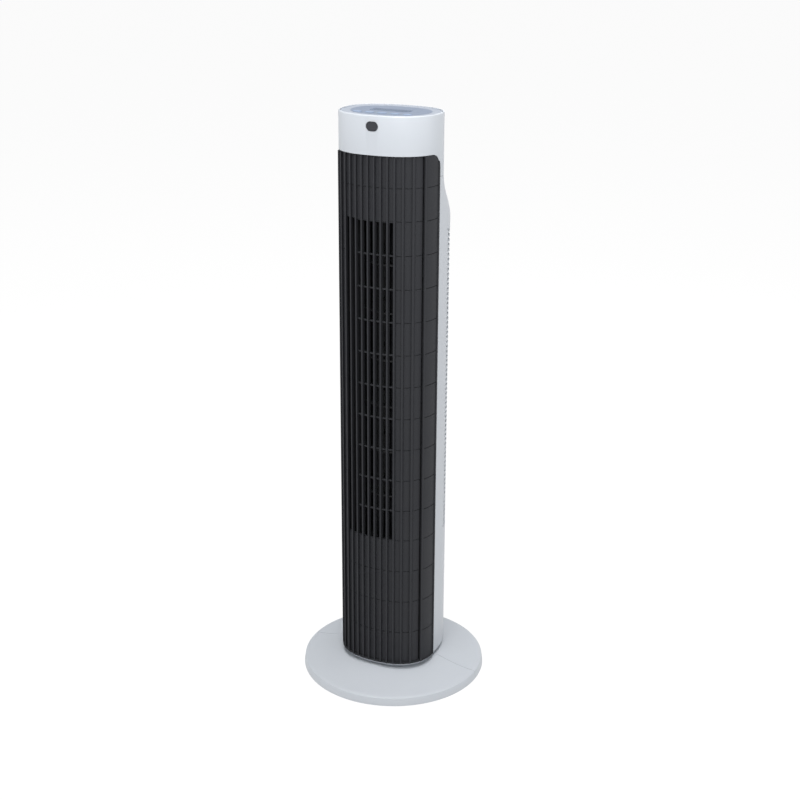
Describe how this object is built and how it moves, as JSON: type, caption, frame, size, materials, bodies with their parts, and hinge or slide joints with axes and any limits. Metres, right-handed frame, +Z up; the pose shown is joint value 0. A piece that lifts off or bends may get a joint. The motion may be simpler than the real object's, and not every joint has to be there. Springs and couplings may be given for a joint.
{
  "type": "tower fan",
  "caption": "Slim oscillating tower fan: dark slotted front grille, white rear housing and head with top buttons, on a round split base.",
  "frame": {"origin": "on the floor, at the centre of the round base and on the swivel axis", "axes": "+Z up, the fan blows towards -Y, +X to the right of someone who looks at its front"},
  "size_m": [0.244, 0.244, 0.75],
  "materials": {
    "white_plastic": "fine satin moulded white plastic",
    "dark_plastic": "satin charcoal moulded plastic",
    "inner_plastic": "plain dark moulded plastic",
    "impeller_plastic": "satin black moulded plastic",
    "panel_film": "smooth blue-grey panel",
    "dark_lens": "polished smoked plastic",
    "button_plastic": "satin light grey plastic",
    "nylon": "natural nylon",
    "rubber": "matt black rubber",
    "steel": "plated steel",
    "motor_steel": "plain pressed steel",
    "circuit_board": "green circuit board"
  },
  "bodies": {
    "base": {"base_front": "white_plastic", "base_rear": "white_plastic", "swivel_socket": "nylon", "swivel_washer": "nylon", "socket_screw_1": "steel", "socket_screw_2": "steel", "socket_screw_3": "steel", "socket_screw_4": "steel", "rubber_foot_1": "rubber", "rubber_foot_2": "rubber", "rubber_foot_3": "rubber", "rubber_foot_4": "rubber"},
    "tower": {"tower_foot": "white_plastic", "retaining_ring": "steel", "swing_motor": "motor_steel", "motor_capacitor": "inner_plastic", "cord_gland": "rubber", "rear_housing": "white_plastic", "rear_shoulder": "white_plastic", "handle_cup": "white_plastic", "front_grille": "dark_plastic", "intake_grille": "white_plastic", "head_cap": "white_plastic", "ir_window": "dark_lens", "control_panel": "panel_film", "display_lens": "dark_lens", "control_board": "circuit_board", "fan_motor_case": "motor_steel", "motor_stator": "motor_steel", "motor_bracket": "inner_plastic", "top_bracket": "inner_plastic", "top_bush": "rubber", "air_guide_scroll": "inner_plastic", "air_guide_tongue": "inner_plastic", "housing_screw_1": "steel", "housing_screw_2": "steel", "housing_screw_3": "steel", "housing_screw_4": "steel", "switch_power": "inner_plastic", "switch_speed": "inner_plastic", "switch_timer": "inner_plastic", "switch_swing": "inner_plastic", "switch_mode": "inner_plastic"},
    "impeller": {"impeller": "impeller_plastic", "impeller_hub": "rubber", "motor_shaft": "steel", "motor_rotor": "motor_steel", "top_axle": "steel"},
    "crank": {"crank_arm": "nylon", "crank_roller": "nylon"},
    "button_power": {"button_power": "button_plastic"},
    "button_speed": {"button_speed": "button_plastic"},
    "button_timer": {"button_timer": "button_plastic"},
    "button_swing": {"button_swing": "button_plastic"},
    "button_mode": {"button_mode": "button_plastic"}
  },
  "joints": [
    {"name": "tower_swing", "type": "hinge", "parent": "base", "child": "tower", "pos_m": [0, 0, 0.028], "axis": [0, 0, 1], "range_deg": [-35, 35]},
    {"name": "crank_turn", "type": "hinge", "parent": "tower", "child": "crank", "pos_m": [0, -0.02, 0.024], "axis": [0, 0, 1], "range_deg": [-90, 90]},
    {"name": "impeller_spin", "type": "hinge", "parent": "tower", "child": "impeller", "pos_m": [0.004, 0.002, 0.2], "axis": [0, 0, 1], "continuous": true},
    {"name": "button_power_press", "type": "slide", "parent": "tower", "child": "button_power", "axis": [0, 0, -1], "range_m": [0, 0.0008], "stiffness_N_per_m": 400, "springref_m": -0.0008},
    {"name": "button_speed_press", "type": "slide", "parent": "tower", "child": "button_speed", "axis": [0, 0, -1], "range_m": [0, 0.0008], "stiffness_N_per_m": 400, "springref_m": -0.0008},
    {"name": "button_timer_press", "type": "slide", "parent": "tower", "child": "button_timer", "axis": [0, 0, -1], "range_m": [0, 0.0008], "stiffness_N_per_m": 400, "springref_m": -0.0008},
    {"name": "button_swing_press", "type": "slide", "parent": "tower", "child": "button_swing", "axis": [0, 0, -1], "range_m": [0, 0.0008], "stiffness_N_per_m": 400, "springref_m": -0.0008},
    {"name": "button_mode_press", "type": "slide", "parent": "tower", "child": "button_mode", "axis": [0, 0, -1], "range_m": [0, 0.0008], "stiffness_N_per_m": 400, "springref_m": -0.0008}
  ],
  "couplings": [
    {"joint": "crank_turn", "follows": "tower_swing", "ratio": -2.57}
  ]
}
